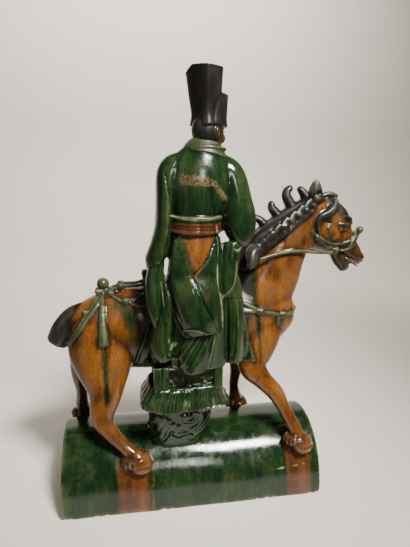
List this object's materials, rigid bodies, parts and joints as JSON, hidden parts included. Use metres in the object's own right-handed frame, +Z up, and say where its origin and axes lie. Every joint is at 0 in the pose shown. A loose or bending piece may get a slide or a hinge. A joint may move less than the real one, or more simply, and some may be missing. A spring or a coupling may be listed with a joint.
{
  "type": "roof ridge figure",
  "caption": "Half-round ridge tile carrying a glazed ceramic official on a fringed pedestal beside a saddled and harnessed horse, to crown a roof ridge",
  "frame": {"origin": "centre of the underside of the bounding box, on the level that the tile's two lower edges rest on", "axes": "+X along the tile towards the horse's head, +Y across the tile away from the official's back, +Z up"},
  "size_m": [0.4408, 0.175, 0.5524],
  "materials": {
    "glazed_ware": "glossy lead glaze in green, amber and dark brown over a buff body"
  },
  "bodies": {
    "root": {"ridge_figure": "glazed_ware"}
  },
  "joints": []
}
